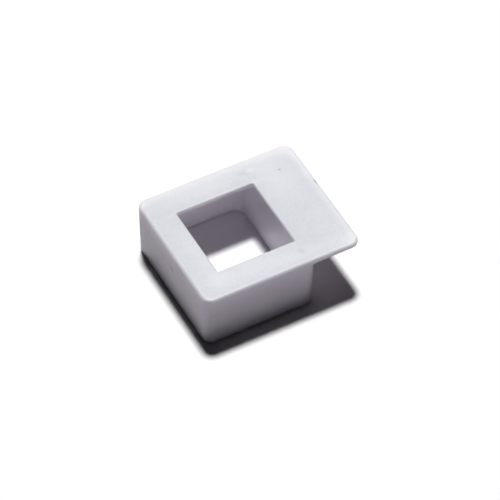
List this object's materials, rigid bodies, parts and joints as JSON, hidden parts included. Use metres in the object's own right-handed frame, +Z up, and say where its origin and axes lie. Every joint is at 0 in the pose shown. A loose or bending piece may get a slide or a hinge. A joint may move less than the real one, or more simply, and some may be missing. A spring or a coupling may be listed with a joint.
{
  "type": "tissue embedding ring",
  "caption": "Moulded plastic ring for embedding tissue in wax: a thin-walled box, open below, under a flat plate with a square window and a grip lip.",
  "frame": {"origin": "middle of the bounding box in plan, on the plane of the open rim that the part stands on", "axes": "+X along the grip lip, +Y across the width, +Z up from the rim to the plate"},
  "size_m": [0.0324, 0.028, 0.012],
  "materials": {
    "plastic": "plain moulded, pale grey-white, satin"
  },
  "bodies": {
    "root": {"embedding_ring": "plastic"}
  },
  "joints": []
}
